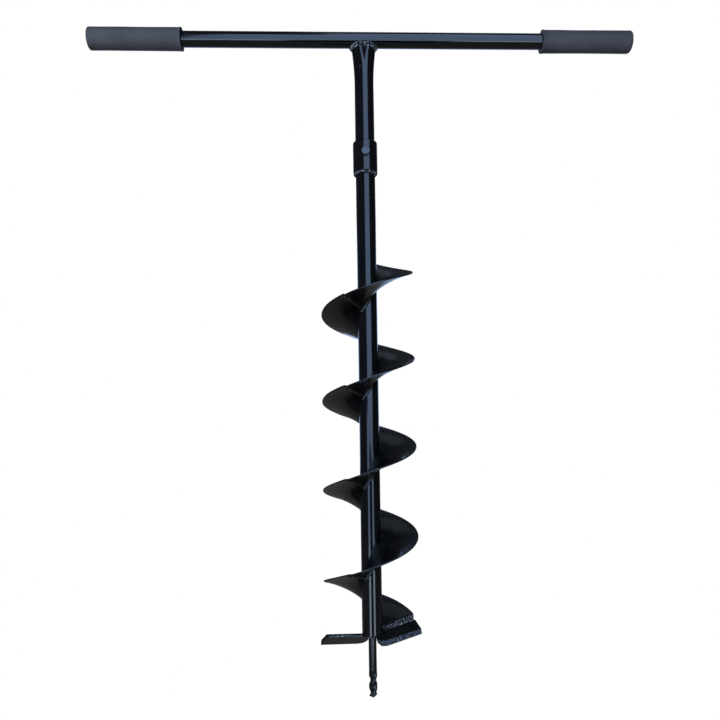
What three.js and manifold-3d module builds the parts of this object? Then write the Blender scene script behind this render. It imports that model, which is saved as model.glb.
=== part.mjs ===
// A hand earth auger with a T handle: a tube shaft with a welded helical flight, two cutting blades
// and a twisted pilot point, and a handle that plugs into a socket and is held by one through-bolt.
// Millimetres, +Z up along the shaft, the handle bar along X, the bolt head towards -Y.
// The origin is the pilot's point, on the shaft's axis.
import * as THREE from "three";
import { mergeVertices } from "three/addons/utils/BufferGeometryUtils.js";
import Module from "manifold-3d";

const wasm = await Module();
wasm.setup();

// ---- Driving dimensions ----
const GAP = 0.3; // between faces that touch on the real object
const ROUND = 48; // sides of a tube
const FACET = 0.7; // how far the flight's flat facets may stray from its true surface

const PILOT = { radius: 6.2, length: 96.8, inPlug: 14, twisted: 38.3, halfTurn: 18.75 };
const PILOT_FLAT = { wide: 6.6, thin: 4.2, tailWide: 8.2, tailHeight: 4 };
const PLUG = { thickness: 8 };
const SHAFT = { radius: 15.875, wall: 2.5, length: 750 };
const FLIGHT = { radius: 75, pitch: 140.4, plate: 2, rootDrop: 15.5, above: 10.7 };
const FLIGHT_SPAN = { start: 24, firstSeam: 238.4, end: 1528 }; // degrees round the shaft from +X
const FLIGHT_END = { sag: 1.5, sagSpan: 30 }; // the rim is hammered down to the first blade
const SEAM = { step: 0.9, stepSpan: 12, sag: 1.6, sagSpan: 55 };
const SEAM_WELD = { width: 7, height: 1.6, fromRoot: 6.5, fromRim: 3 };
const ROOT_WELD = { leg: 4.5, height: 6.8, before: 8, after: 46 };
const BLADE = { width: 24.1, plate: 5, tilt: 41.4, sweep: 25.2, rise: 7.6, bevel: 6.5, edge: 0.6 };
const BLADE_FIT = { behindAxis: 0.4, belowShaft: 2.5, overhang: 3, endBulge: 1.6 };
const BLADE_HEEL = { inner: 6.8, rise: 2.4, tabInner: 3.2, tabLow: 8.6, tabHigh: 13 };
const BLADE_WELD = { fromShaft: 4, fromRim: 1.5, back: 2.6, front: 2.2, intoFlight: 0.4 };
const EDGE_WELD = { fromShaft: 2, fromEnd: 2, width: 3.4, height: 1.5, fromCorner: 0.2 };
const PILOT_WELD = { leg: 5, toe: 1.6 };
const SOCKET = { clearance: 0.525, wall: 3.6, length: 52, onShaft: 12, chamfer: 1.6 };
const SOCKET_WELD = { height: 5, leg: 3.2 };
const BOLT = { radius: 4, length: 55, headFlats: 13, headHeight: 5.3, below: 21.6, clearance: 0.5 };
const NUT = { flats: 13, height: 6.5 };
const HEX_CHAMFER = { width: 1.2, height: 0.8 };
const WASHER = { radius: 8, thickness: 1.6 };
const SPRING_WASHER = { radius: 7, thickness: 2, split: 1.5, slant: 25 };
const STEM = { height: 218.9, flareHeight: 62, mouthInside: 2.6, flareCurve: 1.7 };
const DENT = { depth: 3.2, height: 30, halfLow: 1, halfHigh: 8 };
const BAR = { radius: 13, wall: 2, length: 903.4 };
const GRIP = { radius: 18.5, cap: 4, length: 159, lip: 0.6, lipLength: 5, edge: 2.5 };
const HANDLE_WELD = { radius: 3.4, spread: 0.8 };

// ---- Places that follow from the sizes ----
const shaftBottom = PILOT.length;
const shaftTop = shaftBottom + SHAFT.length;
const shaftBore = SHAFT.radius - SHAFT.wall;
const socketBottom = shaftTop - SOCKET.onShaft;
const socketTop = socketBottom + SOCKET.length;
const boltHeight = socketTop - BOLT.below;
const barHeight = shaftTop + STEM.height;
const rootRadius = SHAFT.radius + GAP;
const holeRadius = BOLT.radius + BOLT.clearance;

// ---- Geometry helpers ----
const radians = THREE.MathUtils.degToRad;

// A closed ring of triangles through equal rings of points, with a fan over each end.
function loft(rings) {
  const count = rings[0].length;
  const points = rings.flat();
  const faces = [];
  for (let i = 0; i + 1 < rings.length; i++) {
    for (let j = 0; j < count; j++) {
      const a = i * count + j;
      const b = i * count + ((j + 1) % count);
      faces.push(a, b, b + count, a, b + count, a + count);
    }
  }
  for (const end of [0, rings.length - 1]) {
    const middle = points.length;
    const sum = rings[end].reduce((s, p) => s.add(p), new THREE.Vector3());
    points.push(sum.divideScalar(count));
    for (let j = 0; j < count; j++) {
      const a = end * count + j;
      const b = end * count + ((j + 1) % count);
      if (end === 0) faces.push(middle, b, a);
      else faces.push(middle, a, b);
    }
  }
  const geometry = new THREE.BufferGeometry().setFromPoints(points);
  geometry.setIndex(faces);
  return outward(geometry);
}

// Turns a closed geometry's faces to point out, as its signed volume tells.
function outward(geometry) {
  const p = geometry.attributes.position;
  const index = geometry.index.array;
  const [a, b, c] = [new THREE.Vector3(), new THREE.Vector3(), new THREE.Vector3()];
  let volume = 0;
  for (let i = 0; i < index.length; i += 3) {
    a.fromBufferAttribute(p, index[i]);
    b.fromBufferAttribute(p, index[i + 1]);
    c.fromBufferAttribute(p, index[i + 2]);
    volume += a.dot(b.cross(c));
  }
  if (volume < 0) {
    for (let i = 0; i < index.length; i += 3) {
      [index[i + 1], index[i + 2]] = [index[i + 2], index[i + 1]];
    }
  }
  return geometry;
}

function merged(geometry) {
  const bare = geometry.clone();
  bare.deleteAttribute("normal");
  bare.deleteAttribute("uv");
  return mergeVertices(bare, 1e-4);
}

// A turned piece about Z from its [radius, height] profile, which closes on the axis or on itself.
function turned(profile, sides = ROUND) {
  const points = profile.map(([r, z]) => new THREE.Vector2(r, z));
  const geometry = new THREE.LatheGeometry(points, sides);
  geometry.rotateX(Math.PI / 2);
  return outward(merged(geometry));
}

function ring(inner, outer, low, high, sides = ROUND) {
  return turned([[inner, low], [outer, low], [outer, high], [inner, high], [inner, low]], sides);
}

function rod(radius, low, high, sides = ROUND) {
  return turned([[0, low], [radius, low], [radius, high], [0, high]], sides);
}

// A geometry modelled along Z, laid along Y (so +Z becomes +Y) at a height.
function alongY(geometry, height) {
  return geometry.rotateX(-Math.PI / 2).translate(0, 0, height);
}

function solidOf(geometry) {
  const whole = merged(geometry);
  const vertProperties = whole.attributes.position.array;
  const triVerts = new Uint32Array(whole.index.array);
  return new wasm.Manifold(new wasm.Mesh({ numProp: 3, vertProperties, triVerts }));
}

function geometryOf(solid) {
  const mesh = solid.getMesh();
  const geometry = new THREE.BufferGeometry();
  geometry.setAttribute("position", new THREE.BufferAttribute(mesh.vertProperties, 3));
  geometry.setIndex(new THREE.BufferAttribute(mesh.triVerts, 1));
  return geometry;
}

function cut(geometry, ...tools) {
  let solid = solidOf(geometry);
  for (const tool of tools) solid = solid.subtract(solidOf(tool));
  return geometryOf(solid);
}

function join(first, ...others) {
  let solid = solidOf(first);
  for (const other of others) solid = solid.add(solidOf(other));
  return geometryOf(solid);
}

// ---- Materials ----
const paint = { color: 0x14171b, roughness: 0.25, metalness: 0.0 };
const weldPaint = { color: 0x23282f, roughness: 0.4, metalness: 0.1 };
const foam = { color: 0x3c4148, roughness: 0.9, metalness: 0.0 };
const screwSteel = { color: 0x39424d, roughness: 0.35, metalness: 0.6 };

const auger = new THREE.Group();

function place(name, geometry, look) {
  const mesh = new THREE.Mesh(geometry, new THREE.MeshStandardMaterial(look));
  mesh.name = name;
  auger.add(mesh);
}

// ---- Flight ----
// Height of the plate's middle at a turn angle (degrees) and radius: the root hangs below the rim.
function flightHeight(angle, radius) {
  const slope = (FLIGHT.radius - radius) / (FLIGHT.radius - rootRadius);
  return shaftBottom + FLIGHT.above + (FLIGHT.pitch * angle) / 360 - FLIGHT.rootDrop * slope;
}

// The plate's thickness measured straight up, which grows as the helix steepens at the root.
function upright(radius, plate = FLIGHT.plate) {
  const lead = FLIGHT.pitch / (2 * Math.PI * radius);
  const drop = FLIGHT.rootDrop / (FLIGHT.radius - rootRadius);
  return plate * Math.sqrt(1 + lead * lead + drop * drop);
}

function polar(radius, angle, height) {
  const a = radians(angle);
  return new THREE.Vector3(radius * Math.cos(a), radius * Math.sin(a), height);
}

// How far a piece's rim hangs below the true helix, past the seam or the end that it starts at.
function rimSag(turned, radius, { sag, sagSpan }) {
  const share = Math.max(0, 1 - turned / sagSpan);
  return (sag * share * (radius - rootRadius)) / (FLIGHT.radius - rootRadius);
}

// One piece of flight between two turn angles. The rim stands out a little below a seam, and in
// and down above it. grow thickens and lengthens it all round, for cutting its neighbours clear.
function flightPiece(from, to, { seamFrom = false, seamTo = false, grow = 0 } = {}) {
  const steps = Math.round((to - from) / 10);
  const bands = 3;
  const rings = [];
  for (let i = 0; i <= steps; i++) {
    const angle = from + ((to - from) * i) / steps;
    let rim = FLIGHT.radius + grow;
    if (seamTo) rim += SEAM.step * Math.max(0, 1 - (to - angle) / SEAM.stepSpan);
    if (seamFrom) rim -= SEAM.step * Math.max(0, 1 - (angle - from) / SEAM.stepSpan);
    const lengthen = i === 0 ? -1 : i === steps ? 1 : 0;
    const top = [];
    const bottom = [];
    for (let band = 0; band <= bands; band++) {
      const radius = rootRadius + ((rim - rootRadius) * band) / bands;
      const ends = THREE.MathUtils.radToDeg((grow - GAP / 2) / radius) * lengthen;
      const sag = rimSag(angle - from, radius, seamFrom ? SEAM : FLIGHT_END);
      const middle = flightHeight(angle + ends, radius) - sag;
      const half = upright(radius) / 2 + grow;
      top.push(polar(radius, angle + ends, middle + half));
      bottom.push(polar(radius, angle + ends, middle - half));
    }
    rings.push([...bottom, ...top.reverse()]);
  }
  return loft(rings);
}

const seams = [];
for (let a = FLIGHT_SPAN.firstSeam; a < FLIGHT_SPAN.end; a += 360) seams.push(a);
const flightEnds = [FLIGHT_SPAN.start, ...seams, FLIGHT_SPAN.end];
const pieces = flightEnds.length - 1;
for (let k = 0; k < pieces; k++) {
  const joints = { seamFrom: k > 0, seamTo: k + 1 < pieces };
  place(`flight_${pieces - k}`, flightPiece(flightEnds[k], flightEnds[k + 1], joints), paint);
}

// The weld bead across each butt seam, under the plate.
function seamWeld(angle) {
  const rings = [];
  const start = rootRadius + SEAM_WELD.fromRoot;
  const end = FLIGHT.radius - SEAM_WELD.fromRim;
  const steps = 5;
  for (let i = 0; i <= steps; i++) {
    const radius = start + ((end - start) * i) / steps;
    const turn = THREE.MathUtils.radToDeg(SEAM_WELD.width / 2 / radius);
    const point = (share, down) => {
      const a = angle + turn * share;
      const sag = share < 0 ? 0 : rimSag(0, radius, SEAM);
      return polar(radius, a, flightHeight(a, radius) - sag - upright(radius) / 2 - GAP - FACET - down);
    };
    const { height } = SEAM_WELD;
    rings.push([point(-1, 0), point(0, 0), point(1, 0), point(0.5, height), point(-0.5, height)]);
  }
  return loft(rings);
}

// A fillet under the plate where it meets the shaft, for a stretch round each seam.
function rootWeld(angle) {
  const rings = [];
  const from = angle - ROOT_WELD.before;
  const to = angle + ROOT_WELD.after;
  const steps = 9;
  for (let i = 0; i <= steps; i++) {
    const a = from + ((to - from) * i) / steps;
    const lowest = GAP + FACET + rimSag(0, rootRadius + ROOT_WELD.leg, SEAM);
    const under = (radius) => flightHeight(a, radius) - upright(radius) / 2 - lowest;
    const inner = rootRadius;
    const outer = rootRadius + ROOT_WELD.leg;
    rings.push([
      polar(inner, a, under(inner)),
      polar(outer, a, under(outer)),
      polar(inner, a, under(inner) - ROOT_WELD.height),
    ]);
  }
  return loft(rings);
}

seams.forEach((angle, k) => {
  place(`flight_seam_weld_${seams.length - k}`, seamWeld(angle), weldPaint);
  place(`flight_root_weld_${seams.length - k}`, rootWeld(angle), weldPaint);
});

// ---- Shaft, end plug and pilot ----
place("shaft_tube", ring(shaftBore, SHAFT.radius, shaftBottom, shaftTop), paint);

const pilotBore = PILOT.radius + GAP;
place("end_plug", ring(pilotBore, shaftBore - GAP, shaftBottom, shaftBottom + PLUG.thickness), paint);

// A round rod whose lower end is flattened, twisted right-handed and spread to a fishtail point.
function pilotBit() {
  const rings = [];
  const sides = 20;
  const section = (wide, thin, turn, height) => {
    const points = [];
    for (let j = 0; j < sides; j++) {
      const a = (j / sides) * 2 * Math.PI;
      const p = new THREE.Vector3(wide * Math.cos(a), thin * Math.sin(a), height);
      points.push(p.applyAxisAngle(new THREE.Vector3(0, 0, 1), turn));
    }
    return points;
  };
  const turnAt = (height) => (Math.PI * (height - PILOT.twisted)) / PILOT.halfTurn;
  const { wide, thin, tailWide, tailHeight } = PILOT_FLAT;
  rings.push(section(0.6, 0.4, turnAt(0), 0));
  const steps = 16;
  for (let i = 0; i <= steps; i++) {
    const share = i / steps;
    const height = tailHeight + (PILOT.twisted - tailHeight) * share;
    const spread = Math.max(0, 1 - share * 3);
    rings.push(section(wide + (tailWide - wide) * spread, thin, turnAt(height), height));
  }
  rings.push(section(PILOT.radius, PILOT.radius, 0, PILOT.twisted + 3));
  rings.push(section(PILOT.radius, PILOT.radius, 0, shaftBottom + PILOT.inPlug));
  return loft(rings);
}
const pilot = pilotBit();
place("pilot_bit", pilot, paint);

// ---- Cutting blades ----
// A flat plate with a ground lower edge, whose upper edge runs out from the shaft's axis. Its frame:
// along the edge from the axis, up the face, and its normal.
const along = polar(1, BLADE.sweep, Math.tan(radians(BLADE.rise))).normalize();
const across = polar(1, BLADE.sweep + 90, 0);
const steep = new THREE.Vector3().crossVectors(along, across);
const up = across.clone().multiplyScalar(Math.cos(radians(BLADE.tilt)));
up.addScaledVector(steep, Math.sin(radians(BLADE.tilt)));
const normal = new THREE.Vector3().crossVectors(along, up);
const bladeTop = across.clone().multiplyScalar(BLADE_FIT.behindAxis);
bladeTop.setZ(shaftBottom - BLADE_FIT.belowShaft);

function bladePoint(u, v, w) {
  const p = bladeTop.clone().addScaledVector(along, u);
  return p.addScaledVector(up, v - BLADE.width).addScaledVector(normal, w);
}

// How far along its edge the blade reaches before it is this far from the axis, at its top.
function bladeReach(radius) {
  const flat = new THREE.Vector2(along.x, along.y);
  const from = new THREE.Vector2(bladeTop.x, bladeTop.y);
  const a = flat.lengthSq();
  const b = flat.dot(from);
  return (-b + Math.sqrt(b * b - a * (from.lengthSq() - radius * radius))) / a;
}
const bladeLength = bladeReach(FLIGHT.radius + BLADE_FIT.overhang);

// The plate from its heel beside the pilot to its outer end. grow thickens it all round, for
// cutting its neighbours clear.
function bladePlate(grow = 0) {
  const half = BLADE.plate / 2 + grow;
  const section = (u, low, high, lean = 0) => [
    bladePoint(u, low - grow, -half),
    bladePoint(u, high + grow, -half),
    bladePoint(u, high + grow, half),
    bladePoint(u + lean, Math.min(low + BLADE.bevel, high), half),
    bladePoint(u + lean * 0.4, low - grow, -half + BLADE.edge + grow),
  ];
  return loft([
    section(BLADE_HEEL.tabInner - grow, BLADE_HEEL.tabLow, BLADE_HEEL.tabHigh),
    section(BLADE_HEEL.inner - grow, BLADE_HEEL.rise, BLADE.width),
    section(SHAFT.radius, 0, BLADE.width),
    section(bladeLength + grow, 0, BLADE.width, BLADE_FIT.endBulge),
  ]);
}

const shaftSpace = rod(rootRadius, shaftBottom - GAP, shaftTop);
const pilotSpace = rod(pilotBore, PILOT.twisted, shaftBottom + PILOT.inPlug);
const blade = cut(bladePlate(), shaftSpace, pilotSpace);
const halfTurn = (geometry) => geometry.clone().rotateZ(Math.PI);
place("cutting_blade_1", blade, paint);
place("cutting_blade_2", halfTurn(blade), paint);

// The weld between the flight's lower end and the first blade's top edge.
function bladeWeld() {
  const rings = [];
  const inner = SHAFT.radius + BLADE_WELD.fromShaft;
  const outer = FLIGHT.radius - BLADE_WELD.fromRim;
  const { back, front, intoFlight } = BLADE_WELD;
  const side = polar(1, FLIGHT_SPAN.start + 90, 0);
  const offset = (p, amount) => p.clone().addScaledVector(side, amount);
  const steps = 6;
  for (let i = 0; i <= steps; i++) {
    const radius = inner + ((outer - inner) * i) / steps;
    const top = flightHeight(FLIGHT_SPAN.start, radius) - rimSag(0, radius, FLIGHT_END) + intoFlight;
    const low = bladePoint(bladeReach(radius), BLADE.width, 0);
    const high = polar(radius, FLIGHT_SPAN.start, top);
    rings.push([offset(low, -back), offset(low, front), offset(high, front), offset(high, -back)]);
  }
  const nearFlight = flightPiece(FLIGHT_SPAN.start, FLIGHT_SPAN.start + 60, { grow: GAP });
  return cut(loft(rings), nearFlight, bladePlate(GAP), rod(rootRadius, shaftBottom, shaftTop));
}
place("blade_weld_1", bladeWeld(), weldPaint);

// The bead laid along the second blade's upper edge.
function edgeWeld() {
  const low = BLADE.width + GAP;
  const high = BLADE.width + EDGE_WELD.height;
  const start = EDGE_WELD.fromCorner - BLADE.plate / 2;
  const end = start + EDGE_WELD.width;
  const slope = EDGE_WELD.width / 4;
  const ends = [SHAFT.radius + EDGE_WELD.fromShaft, bladeLength - EDGE_WELD.fromEnd];
  return loft(ends.map((u) => [
    bladePoint(u, low, start),
    bladePoint(u, high, start + slope),
    bladePoint(u, high, end - slope),
    bladePoint(u, low, end),
  ]));
}
place("blade_weld_2", halfTurn(edgeWeld()), weldPaint);

// The two fillets between the pilot and the blades' heels, under the shaft's end.
const pilotWeldTop = shaftBottom - GAP;
const pilotWeldRing = turned([
  [pilotBore, pilotWeldTop],
  [pilotBore, pilotWeldTop - PILOT_WELD.leg],
  [pilotBore + PILOT_WELD.toe, pilotWeldTop - PILOT_WELD.leg],
  [pilotBore + PILOT_WELD.leg, pilotWeldTop],
  [pilotBore, pilotWeldTop],
], 24);
const backHalf = new THREE.BoxGeometry(4 * SHAFT.radius, 2 * SHAFT.radius, 2 * SHAFT.radius);
backHalf.translate(0, SHAFT.radius - PILOT_WELD.toe, pilotWeldTop).rotateZ(radians(BLADE.sweep));
const pilotWeld = cut(pilotWeldRing, backHalf, bladePlate(GAP), halfTurn(bladePlate(GAP)));
place("pilot_weld_1", pilotWeld, weldPaint);
place("pilot_weld_2", halfTurn(pilotWeld), weldPaint);

// ---- Socket ----
const socketBore = SHAFT.radius + SOCKET.clearance;
const socketRadius = socketBore + SOCKET.wall;
const socketFace = socketRadius - SOCKET.chamfer;
const sleeve = turned([
  [socketBore, socketBottom],
  [socketFace, socketBottom],
  [socketRadius, socketBottom + SOCKET.chamfer],
  [socketRadius, socketTop - SOCKET.chamfer],
  [socketFace, socketTop],
  [socketBore, socketTop],
  [socketBore, socketBottom],
]);
const boltSpace = alongY(rod(holeRadius, -BOLT.length, BOLT.length, 24), boltHeight);
place("socket_sleeve", cut(sleeve, boltSpace), paint);
const weldTop = socketBottom - GAP;
place("socket_weld", turned([
  [rootRadius, weldTop],
  [rootRadius, weldTop - SOCKET_WELD.height],
  [rootRadius + SOCKET_WELD.leg, weldTop],
  [rootRadius, weldTop],
]), weldPaint);

// ---- Bolt, washers and nut, along Y through the socket ----
// A hexagon prism about Z with two corners towards X and a chamfered outer rim.
function hexagon(flats, low, high, chamferLow, chamferHigh) {
  const corner = flats / 2 / Math.cos(Math.PI / 6);
  const { width, height } = HEX_CHAMFER;
  const profile = [[0, low]];
  if (chamferLow) profile.push([corner - width, low], [corner, low + height]);
  else profile.push([corner, low]);
  if (chamferHigh) profile.push([corner, high - height], [corner - width, high]);
  else profile.push([corner, high]);
  profile.push([0, high]);
  return turned(profile, 6).rotateZ(Math.PI / 6);
}
const seat = socketRadius + GAP;
const head = hexagon(BOLT.headFlats, -seat - BOLT.headHeight, -seat, true, false);
const shank = rod(BOLT.radius, -seat - 1, BOLT.length - seat, 24);
place("clamp_bolt", alongY(join(head, shank), boltHeight), screwSteel);

const nutBore = BOLT.radius + GAP;
const washer = ring(nutBore, WASHER.radius, seat, seat + WASHER.thickness, 32);
place("flat_washer", alongY(washer, boltHeight), screwSteel);

const springLow = seat + WASHER.thickness + GAP;
const springHigh = springLow + SPRING_WASHER.thickness;
const springRing = ring(nutBore, SPRING_WASHER.radius, springLow, springHigh, 32);
const reach = 2 * SPRING_WASHER.radius;
const split = new THREE.BoxGeometry(SPRING_WASHER.split, reach, reach);
split.rotateY(radians(SPRING_WASHER.slant)).translate(0, reach / 2 + 1, springLow);
place("spring_washer", alongY(cut(springRing, split), boltHeight), screwSteel);

const nutLow = springHigh + GAP;
const nutBlock = hexagon(NUT.flats, nutLow, nutLow + NUT.height, true, true);
const nutHole = rod(nutBore, nutLow - 1, nutLow + NUT.height + 1, 24);
place("hex_nut", alongY(cut(nutBlock, nutHole), boltHeight), screwSteel);

// ---- Handle stem ----
// A round tube whose top is squeezed front to back, so that it widens along X and both broad
// faces carry a V-shaped dent, and whose end is mouthed to fit the bar.
const flareBottom = barHeight - BAR.radius - STEM.flareHeight;
const mouthHalf = widened(BAR.radius - STEM.mouthInside);

function stemRing(height, inset) {
  const share = THREE.MathUtils.clamp((height - flareBottom) / STEM.flareHeight, 0, 1);
  const half = SHAFT.radius + (mouthHalf - SHAFT.radius) * Math.pow(share, STEM.flareCurve);
  const depth = squeezed(half);
  const dentBottom = barHeight - BAR.radius - DENT.height;
  const dentShare = THREE.MathUtils.clamp((height - dentBottom) / DENT.height, 0, 1);
  const dentHalf = DENT.halfLow + (DENT.halfHigh - DENT.halfLow) * dentShare;
  const points = [];
  for (let j = 0; j < ROUND; j++) {
    const a = (j / ROUND) * 2 * Math.PI;
    const x = (half - inset) * Math.cos(a);
    let y = (depth - inset) * Math.sin(a);
    const near = Math.max(0, 1 - Math.abs(x) / dentHalf);
    y -= Math.sign(y) * DENT.depth * dentShare * near;
    points.push(new THREE.Vector3(x, y, height));
  }
  return points;
}

// The half depth of an oval with the round tube's own girth, from its half width.
function squeezed(half) {
  let depth = SHAFT.radius;
  for (let i = 0; i < 30; i++) {
    const h = ((half - depth) / (half + depth)) ** 2;
    const girth = (half + depth) * (1 + (3 * h) / (10 + Math.sqrt(4 - 3 * h)));
    depth += 2 * SHAFT.radius - girth;
  }
  return depth;
}

// The half width at which the squeezed tube is as thin as the bar needs its mouth to be.
function widened(depth) {
  let [narrow, wide] = [SHAFT.radius, SHAFT.radius * 1.5];
  for (let i = 0; i < 30; i++) {
    const half = (narrow + wide) / 2;
    if (squeezed(half) > depth) narrow = half;
    else wide = half;
  }
  return wide;
}

function stemLoft(inset, low, high) {
  const heights = [low];
  const steps = 12;
  const flareTop = barHeight - BAR.radius;
  for (let i = 0; i <= steps; i++) heights.push(flareBottom + (flareTop - flareBottom) * (i / steps));
  heights.push(high);
  return loft(heights.map((height) => stemRing(height, inset)));
}

const stemBottom = shaftTop + GAP;
const barSpace = rod(BAR.radius + GAP, -BAR.length / 4, BAR.length / 4);
barSpace.rotateY(Math.PI / 2).translate(0, 0, barHeight);
const stemHollow = stemLoft(SHAFT.wall, stemBottom - 1, barHeight + 1);
const stem = cut(stemLoft(0, stemBottom, barHeight), stemHollow, barSpace, boltSpace);
place("handle_stem", stem, paint);

// The weld bead that follows the stem's mouth round under the bar.
function handleWeld() {
  const rings = [];
  const steps = 36;
  const mouth = stemRing(barHeight - BAR.radius, -HANDLE_WELD.spread);
  const seatHeight = (y) => barHeight - Math.sqrt((BAR.radius + HANDLE_WELD.spread) ** 2 - y * y);
  const path = new THREE.CatmullRomCurve3(
    mouth.map((p) => new THREE.Vector3(p.x, p.y, seatHeight(p.y))), true);
  for (let i = 0; i <= steps; i++) {
    const at = path.getPointAt(i / steps);
    const out = new THREE.Vector3(at.x / mouthHalf, at.y / squeezed(mouthHalf), 0).normalize();
    const points = [];
    for (let j = 0; j < 8; j++) {
      const a = (j / 8) * 2 * Math.PI;
      const p = at.clone().addScaledVector(out, HANDLE_WELD.radius * Math.cos(a));
      points.push(p.add(new THREE.Vector3(0, 0, HANDLE_WELD.radius * Math.sin(a))));
    }
    rings.push(points);
  }
  return rings;
}

// A loop of rings that closes on itself.
function loop(rings) {
  const count = rings[0].length;
  const open = rings.slice(0, -1);
  const faces = [];
  for (let i = 0; i < open.length; i++) {
    const next = (i + 1) % open.length;
    for (let j = 0; j < count; j++) {
      const k = (j + 1) % count;
      faces.push(i * count + j, i * count + k, next * count + k);
      faces.push(i * count + j, next * count + k, next * count + j);
    }
  }
  const geometry = new THREE.BufferGeometry().setFromPoints(open.flat());
  geometry.setIndex(faces);
  return outward(geometry);
}
const stemSpace = stemLoft(-GAP, stemBottom, barHeight);
place("handle_weld", cut(loop(handleWeld()), barSpace, stemSpace), weldPaint);

// ---- Bar and grips, along X ----
const bar = ring(BAR.radius - BAR.wall, BAR.radius, -BAR.length / 2, BAR.length / 2);
place("handle_bar", bar.rotateY(Math.PI / 2).translate(0, 0, barHeight), paint);

// A closed-end sleeve pushed on the bar, modelled along Z with its closed end up.
function grip() {
  const bore = BAR.radius + GAP;
  const capInside = BAR.length / 2 + GAP;
  const end = capInside + GRIP.cap;
  const mouth = end - GRIP.length;
  return turned([
    [0, capInside],
    [bore, capInside],
    [bore, mouth],
    [GRIP.radius + GRIP.lip, mouth],
    [GRIP.radius + GRIP.lip, mouth + GRIP.lipLength - 1],
    [GRIP.radius, mouth + GRIP.lipLength],
    [GRIP.radius, end - GRIP.edge],
    [GRIP.radius - GRIP.edge * 0.3, end - GRIP.edge * 0.3],
    [GRIP.radius - GRIP.edge, end],
    [0, end],
  ]);
}
place("grip_right", grip().rotateY(Math.PI / 2).translate(0, 0, barHeight), foam);
place("grip_left", grip().rotateY(-Math.PI / 2).translate(0, 0, barHeight), foam);

export default auger;
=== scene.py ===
import math

import bpy
from mathutils import Matrix, Vector, noise


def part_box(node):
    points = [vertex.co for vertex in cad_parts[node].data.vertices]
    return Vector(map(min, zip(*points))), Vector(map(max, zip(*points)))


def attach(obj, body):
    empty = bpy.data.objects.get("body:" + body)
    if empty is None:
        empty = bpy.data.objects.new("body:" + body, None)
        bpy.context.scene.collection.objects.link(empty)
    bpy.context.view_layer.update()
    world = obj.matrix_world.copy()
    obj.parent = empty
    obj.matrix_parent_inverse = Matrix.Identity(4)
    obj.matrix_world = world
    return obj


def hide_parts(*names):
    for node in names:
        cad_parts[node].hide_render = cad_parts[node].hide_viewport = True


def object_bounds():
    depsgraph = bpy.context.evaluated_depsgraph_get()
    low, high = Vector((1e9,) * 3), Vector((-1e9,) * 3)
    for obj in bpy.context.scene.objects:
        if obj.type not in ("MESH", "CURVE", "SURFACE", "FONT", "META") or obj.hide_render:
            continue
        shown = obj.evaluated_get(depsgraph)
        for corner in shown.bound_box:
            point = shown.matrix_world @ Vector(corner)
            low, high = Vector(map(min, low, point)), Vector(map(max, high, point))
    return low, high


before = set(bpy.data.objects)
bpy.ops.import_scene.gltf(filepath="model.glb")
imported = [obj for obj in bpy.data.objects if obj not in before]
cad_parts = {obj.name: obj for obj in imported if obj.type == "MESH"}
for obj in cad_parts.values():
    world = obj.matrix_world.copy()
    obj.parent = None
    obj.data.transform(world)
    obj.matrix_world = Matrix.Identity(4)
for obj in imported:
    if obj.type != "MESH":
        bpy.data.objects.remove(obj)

cad_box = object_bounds()

# ---- Camera ----
# It stands a good metre in front of the auger, a little left of it and level with the middle turns,
# and looks slightly up, so the bar shows its underside.
CAMERA_PLACE = (-0.0549, -1.0872, 0.4322)
CAMERA_YAW, CAMERA_PITCH, CAMERA_ROLL = 2.19, 4.89, -0.815  # degrees
LENS = 33.77

bpy.ops.object.select_all(action="DESELECT")
bpy.ops.object.camera_add()
camera = bpy.context.object
camera.data.lens = LENS
camera.data.sensor_width = 36
camera.matrix_world = (
    Matrix.Translation(CAMERA_PLACE)
    @ Matrix.Rotation(math.radians(-CAMERA_YAW), 4, "Z")
    @ Matrix.Rotation(math.radians(90 + CAMERA_PITCH), 4, "X")
    @ Matrix.Rotation(math.radians(CAMERA_ROLL), 4, "Z")
)
bpy.context.scene.camera = camera

# ---- Shaft ----
# A 1 1/4 inch welded steel tube with a 2.5 mm wall, sawn square at both ends. It carries the flight
# and is stove-painted gloss black after all the welding is done.
SHAFT_WALL = 0.0025
SHAFT_EDGE = 0.0003  # radius left on the sawn ends
INWARDS, MIDDLE = -1, 0  # which side of a sheet its thickness goes

shaft_low, shaft_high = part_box("shaft_tube")
SHAFT_RADIUS = shaft_high.x


def add(tree, kind, inputs=None, **settings):
    """Adds a shader node. An input given as a socket is linked, and any other is set."""
    made = tree.nodes.new("ShaderNode" + kind)
    for key, value in settings.items():
        setattr(made, key, value)
    for key, value in (inputs or {}).items():
        if isinstance(value, bpy.types.NodeSocket):
            tree.links.new(value, made.inputs[key])
        else:
            made.inputs[key].default_value = value
    return made


def ramp(tree, factor, *stops):
    """A colour ramp over a factor, from (place, grey or colour) stops."""
    made = add(tree, "ValToRGB", {"Fac": factor})
    points = made.color_ramp.elements
    while len(points) < len(stops):
        points.new(0.5)
    for point, (place, colour) in zip(points, stops):
        point.position = place
        shade = (colour, colour, colour) if isinstance(colour, float) else colour
        point.color = (*shade, 1)
    return made.outputs["Color"]


def grain(tree, scale, detail=3.0, roughness=0.5, stretch=(1, 1, 1)):
    """A noise over the object's own coordinates, drawn out along the axes with a small stretch."""
    place = add(tree, "TexCoord").outputs["Object"]
    drawn = add(tree, "Mapping", {"Vector": place, "Scale": stretch}).outputs["Vector"]
    inputs = {"Vector": drawn, "Scale": scale, "Detail": detail, "Roughness": roughness}
    return add(tree, "TexNoise", inputs).outputs[0]


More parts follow.
